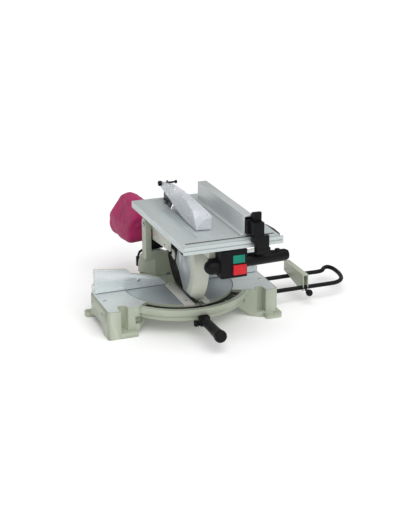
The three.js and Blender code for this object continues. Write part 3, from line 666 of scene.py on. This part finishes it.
def turntable():
    refined("turntable", [CAST, DISC_METAL], 0.6, 2,
            paint=lambda normal, p: 1 if normal.z > UP and p.z > 76 else 0)
    refined("turntable_ring", CAST, 1.2)
    for side in ("left", "right"):
        refined("kerf_board_" + side, KERF, 0.4)
    refined("mitre_pointer", STEEL, 0.4)
    refined("grip_bracket", BLACK_METAL, 1.2)
    refined("mitre_lock_lever", BLACK_METAL, 0.8)
    refined("bevel_bolt", STEEL, 0.6)
    flutes = 14
    profile = [(0, 0), (10, 0), (12.4, 1.2), (12.6, 6), (12.8, 20), (13, 52), (14, 76), (15.2, 93),
               (16.6, 98), (16.6, 104), (15.4, 107.5), (12.5, 109.4), (12, 108.8), (0, 108.8)]
    grip = lathe("mitre_grip_fine", (0, -205.3, 47), (0, -1, 0), profile, 84,
                 lambda a, h: -0.55 * max(0, math.cos(flutes * a)) if 8 < h < 95 else 0)
    place(grip, "mitre_grip", GRIP_BLACK, ("mitre_grip",))
    for name, x, y in (("kerf_screw_front", -22, -118), ("kerf_screw_back", -22, 6),
                       ("kerf_screw_right", 24, -118)):
        place(screw(name, (x, y, MITRE_TOP - 0.4), (0, 0, 1), 3.4, 0.7, 0.8), "turntable", SCREW_METAL)
    place(screw("pointer_screw", (9, -137, 81.6), (0, 0, 1), 3.6, 1.4), "turntable", SCREW_METAL)


turntable()

# ---- tilting arm ----------------------------------------------------------------------------


def arm():
    refined("bevel_arm", CAST, 2.4, 3)
    refined("bevel_lever", BLACK_METAL, 0.9)
    refined("head_shaft", STEEL, 0.8)
    refined("stop_pin", BLACK_METAL, 0.8)
    coil = []
    turns, steps = 4, 28
    for i in range(turns * steps + 1):
        a = 2 * math.pi * i / steps
        x = 19.2 + 6.6 * i / (turns * steps)
        coil.append(Vector((x, 100 + 11.6 * math.cos(a), 225 + 11.6 * math.sin(a))))
    spring = swept_free("head_spring_fine", coil, 0.75, 8)
    place(spring, "arm", STEEL, ("head_spring",))


def swept_free(name, route, radius, sides):
    """A round wire along any curve, with its section carried along without twisting."""
    bm = bmesh.new()
    rings = []
    side = None
    for i, here in enumerate(route):
        ahead = (route[min(i + 1, len(route) - 1)] - route[max(i - 1, 0)]).normalized()
        if side is None:
            side = ahead.orthogonal().normalized()
        side = (side - ahead * side.dot(ahead)).normalized()
        lift = ahead.cross(side)
        ring = []
        for k in range(sides):
            a = 2 * math.pi * k / sides
            ring.append(bm.verts.new(at(*(here + radius * (math.cos(a) * side + math.sin(a) * lift)))))
        rings.append(ring)
    for one, two in zip(rings, rings[1:]):
        for k in range(sides):
            n = (k + 1) % sides
            bm.faces.new((one[k], one[n], two[n], two[k]))
    bm.faces.new(rings[0])
    bm.faces.new(rings[-1][::-1])
    return from_bmesh(name, bm)


arm()

# ---- head -----------------------------------------------------------------------------------


def head():
    refined("blade_case", CREAM, 1.2, 3)
    refined("side_cover", CREAM, 0.9)
    # Black plate under the case: partly a real black guard, partly painted shade that fills the dark region
    # where the blade lies in shade.
    refined("splinter_guard", BLACK_PLASTIC, 0.3)
    refined("lower_guard", GUARD_METAL, 0.3)
    refined("gear_housing", CAST, 1.8, 3)
    refined("motor_housing", BLACK_PLASTIC, 0.8)
    refined("motor_end_cap", BLACK_PLASTIC, 1.5, 3)
    # Dark grey steel: painted shade on the riving knife.
    refined("riving_knife", KNIFE_STEEL_IN_SHADE, 0.2, 1)
    refined("dust_nozzle", BLACK_PLASTIC, 0.6)
    refined("switch_box", BLACK_PLASTIC, 1.8, 3)
    refined("handle_bar", GRIP_BLACK, 1.2)
    refined("start_button", GREEN, 1.4, 3)
    refined("stop_button", RED, 1.4, 3)
    refined("trigger", BLACK_PLASTIC, 1.0)
    refined("lock_off_button", BLACK_PLASTIC, 1.0)
    cutter()
    cover_parts()


def cover_parts():
    """Screws, the bearing plate and its bolt on the left of the case, and the oval recess on the arm's
    cheek.
    """
    for name, y, z, radius in (("cover_screw_front", -54, 206, 4.2), ("cover_screw_middle", -20, 203, 3.2),
                               ("cover_screw_back", 60, 200, 4.2), ("cover_screw_top", 20, 250, 3.2)):
        place(screw(name, (-45, y, z), (-1, 0, 0), radius), "head", SCREW_METAL)
    plate_side = [(-54, 171), (-54, 190), (-46, 196), (-7, 194), (-7, 188)]
    plate = slab("cover_plate", plate_side, "x", -32, -27.5, 0.8)
    place(plate, "head", CREAM)
    bolt = lathe("cover_bolt", (-32, -31, 185), (-1, 0, 0),
                 [(0, 0), (8, 0), (8, 1.5), (5.8, 1.8), (5.8, 6), (4.6, 7), (0, 7)], 30)
    place(bolt, "head", BLACK_PLASTIC)
    oval = ring_points(100, 214, 6.5, 10, 180, 180) + ring_points(100, 228, 6.5, 10, 0, 180)
    recess = slab("cheek_recess", oval, "x", -63.5, -62.9, 0.2)
    place(recess, "arm", CREAM)


def cutter():
    for node in ("spindle", "inner_flange", "outer_flange", "blade_bolt", "large_gear", "spindle_bearing"):
        refined(node, STEEL, 0.3, 1)
    refined("saw_blade", BLADE_METAL, 0.0)
    refined("armature", STEEL, 0.0)
    refined("stator", COPPER, 0.8)
    refined("cooling_fan", BLACK_PLASTIC, 0.2, 1)


head()

# ---- dust bag -------------------------------------------------------------------------------


BAG_SECTION = [(-76, 128), (-82, 150), (-80, 185), (-48, 238), (-14, 246), (10, 232), (14, 150), (4, 130)]
# how the bottom and the top run along the bag
BAG_UNDER = [(193, 142), (206, 137), (280, 129), (364, 124), (377, 140)]
BAG_OVER = [(193, 233), (201, 245), (364, 246), (377, 214)]


def height_along(line, y):
    for (y1, z1), (y2, z2) in zip(line, line[1:]):
        if y1 <= y <= y2:
            return z1 + (z2 - z1) * (y - y1) / (y2 - y1)
    return line[-1][1]


def bag_ring(y, slim):
    """The bag's outline at one place along it, with its corners cut twice."""
    low, high = height_along(BAG_UNDER, y), height_along(BAG_OVER, y)
    middle_x = -34
    ring = [(middle_x + (x - middle_x) * slim, low + (z - 126) * (high - low) / 120) for x, z in BAG_SECTION]
    for share in (0.1, 0.25):
        cut = []
        for one, two in zip(ring, ring[1:] + ring[:1]):
            a, b = Vector(one), Vector(two)
            cut += [tuple(a.lerp(b, share)), tuple(a.lerp(b, 1 - share))]
        ring = cut
    return ring


def dust_bag():
    stations = [(197.5, 0.86), (200, 0.93), (207, 0.98), (230, 1.0), (270, 1.02), (310, 1.02), (345, 1.02),
                (364, 1.01), (372, 0.98), (376.5, 0.93)]
    bm = bmesh.new()
    rings = [[bm.verts.new(at(x, y, z)) for x, z in bag_ring(y, slim)] for y, slim in stations]
    count = len(rings[0])
    for one, two in zip(rings, rings[1:]):
        for k in range(count):
            n = (k + 1) % count
            bm.faces.new((one[k], one[n], two[n], two[k]))
    bm.faces.new(rings[0])
    bm.faces.new(rings[-1][::-1])
    bag = from_bmesh("dust_bag_cloth", bm)
    remesh = bag.modifiers.new("even", "REMESH")
    remesh.mode = "VOXEL"
    remesh.voxel_size = 0.005
    bake(bag)
    puffed(bag)
    wrinkled(bag)
    place(bag, "dust_bag", BAG, ("dust_bag",), 180)
    collar = lathe("dust_bag_collar", (-8, 199, 190), (0, 1, 0),
                   [(22.5, -3), (25, -3.5), (26, 0), (25, 3), (22.5, 3), (22.5, -3)], 40)
    place(collar, "dust_bag", BLACK_PLASTIC)


CLOTH_CAP = 0.004


def puffed(bag):
    """Blows the cloth up a little and lets it sag, then keeps each point near where it was."""
    start = [v.co.copy() for v in bag.data.vertices]
    pinned = bag.vertex_groups.new(name="collar")
    mouth = at(-8, 199, 190)
    pinned.add([v.index for v in bag.data.vertices if (v.co - mouth).length < 0.034], 1.0, "REPLACE")
    cloth = bag.modifiers.new("cloth", "CLOTH")
    cloth.settings.quality = 5
    cloth.settings.mass = 0.2
    cloth.settings.tension_stiffness = 12
    cloth.settings.compression_stiffness = 12
    cloth.settings.bending_stiffness = 0.3
    cloth.settings.use_pressure = True
    cloth.settings.uniform_pressure_force = 1.2
    cloth.settings.vertex_group_mass = "collar"
    cloth.settings.effector_weights.gravity = 0.25
    cloth.point_cache.frame_start = 1
    cloth.point_cache.frame_end = 16
    scene = bpy.context.scene
    for number in range(1, 17):
        scene.frame_set(number)
    graph = bpy.context.evaluated_depsgraph_get()
    moved = [v.co.copy() for v in bag.evaluated_get(graph).data.vertices]
    bag.modifiers.clear()
    for vertex, old, new in zip(bag.data.vertices, start, moved):
        step = new - old
        if step.length > CLOTH_CAP:
            step *= CLOTH_CAP / step.length
        vertex.co = old + step
    scene.frame_set(1)


def wrinkled(bag):
    """Soft creases that run slantwise across the cloth."""
    for vertex, normal in zip(bag.data.vertices, [v.normal.copy() for v in bag.data.vertices]):
        p = (vertex.co - HOME) * 1000
        slant = Vector((p.x * 0.02, (p.y + p.z * 0.8) * 0.008, (p.z - p.y * 0.5) * 0.022))
        crease = noise.noise(slant * 1.1) + 0.5 * noise.noise(slant * 2.7)
        vertex.co += normal * (0.0036 * crease - 0.0002)
    relax = bag.modifiers.new("relax", "SMOOTH")
    relax.factor = 0.5
    relax.iterations = 1
    bag.modifiers.new("fine", "SUBSURF").levels = 1
    bake(bag)


dust_bag()

# ---- saw table ------------------------------------------------------------------------------


def saw_table():
    refined("saw_table", TABLE_METAL, 0.8)
    refined("table_insert", TABLE_METAL, 0.25, 1)
    refined("front_rail", TABLE_METAL, 0.5)
    for node in ("table_post_left", "table_post_right"):
        refined(node, STEEL, 0.4)
    refined("table_lever", BLACK_PLASTIC, 1.0)
    strip = slab("table_scale", rect(-78, 160, -272, -265), "z", TABLE_TOP - 0.2, TABLE_TOP + 0.12)
    place(strip, "saw_table", DARK_PRINT_AND_SHADOW)
    marks = []
    for k in range(0, 47):
        x = -72 + 5 * k
        near = -271.4 if k % 2 == 0 else -269
        marks.append(slab("mark", rect(x - 0.25, x + 0.25, near, -265.8), "z", TABLE_TOP, TABLE_TOP + 0.2))
    place(joined("table_scale_marks", marks), "saw_table", WHITE_MARK)
    for i, (x, y) in enumerate([(10, -229), (-21, -228), (36, -154), (-28, 33), (-22, -185), (36, 60)]):
        head_of = screw("insert_screw_%d" % (i + 1), (x, y, TABLE_TOP - 0.5), (0, 0, 1), 3.6, 0.6, 0.9)
        place(head_of, "saw_table", SCREW_METAL)


saw_table()


def top_guard():
    """A clear hood, open underneath: a high ridge on the left that dives to the front corner."""
    left, right = -17, 22
    stations = [  # along the hood, height of the left ridge, height of the right edge
        (90, 347, 334), (60, 350, 336), (10, 352, 338), (-60, 353, 338), (-115, 349, 336),
        (-157, 335, 333), (-171, 316, 331.5),
    ]
    rings = []
    for y, ridge, edge in stations:
        low = guard_edge(y)
        crown = ridge * 0.45 + edge * 0.55 + 1
        rings.append([(left, y, low), (left, y, ridge), (0, y, crown), (right, y, edge), (right, y, low)])
    rings.append([(left, -185, 293), (left, -186, 296), (0, -191, 318),
                  (right, -199, 329.5), (right, -190, 293)])
    bm = bmesh.new()
    rings = [[bm.verts.new(at(*p)) for p in ring] for ring in rings]
    for one, two in zip(rings, rings[1:]):
        for k in range(len(one) - 1):
            bm.faces.new((one[k], one[k + 1], two[k + 1], two[k]))
    bm.faces.new(rings[-1])
    bm.normal_update()
    hood = from_bmesh("top_guard_hood", bm)
    thick = hood.modifiers.new("thick", "SOLIDIFY")
    thick.thickness = 0.0022
    thick.offset = 0
    bake(hood)
    rounded(hood, 0.9, 2, 12)
    inward_check(hood, left, right)
    place(hood, "top_guard", CLEAR, ("top_guard",), 16)
    y, z = 80, 343
    knob_profile = [(0, 0), (6.2, 0), (7, 1), (7, 7), (6, 8.6), (0, 8.8)]
    knob = lathe("guard_knob_fine", (-17.3, y, z), (-1, 0, 0), knob_profile, 40,
                 lambda a, h: 0.35 * math.cos(9 * a))
    nut_profile = [(0, 0), (5, 0), (5, 4), (4.4, 4.7), (0, 4.7)]
    nut = lathe("guard_nut_fine", (22.3, y, z), (1, 0, 0), nut_profile, 6)
    bar_profile = [(0, 0), (2.6, 0), (2.6, 39.6), (0, 39.6)]
    bar = lathe("guard_bolt_fine", (-17.3, y, z), (1, 0, 0), bar_profile, 20)
    knob_set = joined("guard_knob_set", [knob, nut, bar])
    place(knob_set, "guard_knob", BLACK_PLASTIC, ("guard_knob",))


def guard_edge(y):
    """Height of the hood's lower edge."""
    points = [(90, 334), (62, 326), (-20, 311), (-87, 293), (-201, 293)]
    for (y1, z1), (y2, z2) in zip(points, points[1:]):
        if y2 <= y <= y1:
            return z1 + (z2 - z1) * (y - y1) / (y2 - y1)
    return points[0][1] if y > points[0][0] else points[-1][1]


def inward_check(hood, left, right):
    """Squeezes the hood across, about its left edge, when the thickened wall reaches past that edge, so that
    the hood keeps its size.
    """
    xs = [(v.co - HOME).x * 1000 for v in hood.data.vertices]
    if min(xs) < left - 0.5:
        for v in hood.data.vertices:
            x = (v.co - HOME).x * 1000
            v.co.x = HOME.x + (left + (x - left) * (right - left) / (max(xs) - min(xs))) / 1000


top_guard()

# ---- rip fence ------------------------------------------------------------------------------


def rip_fence():
    refined("rip_fence", RULE_METAL, 0.5)
    refined("fence_clamp", BLACK_METAL, 1.2, 3)
    refined("fence_jaw", BLACK_METAL, 0.8)
    refined("fence_knob", BLACK_PLASTIC, 1.6, 3)


rip_fence()
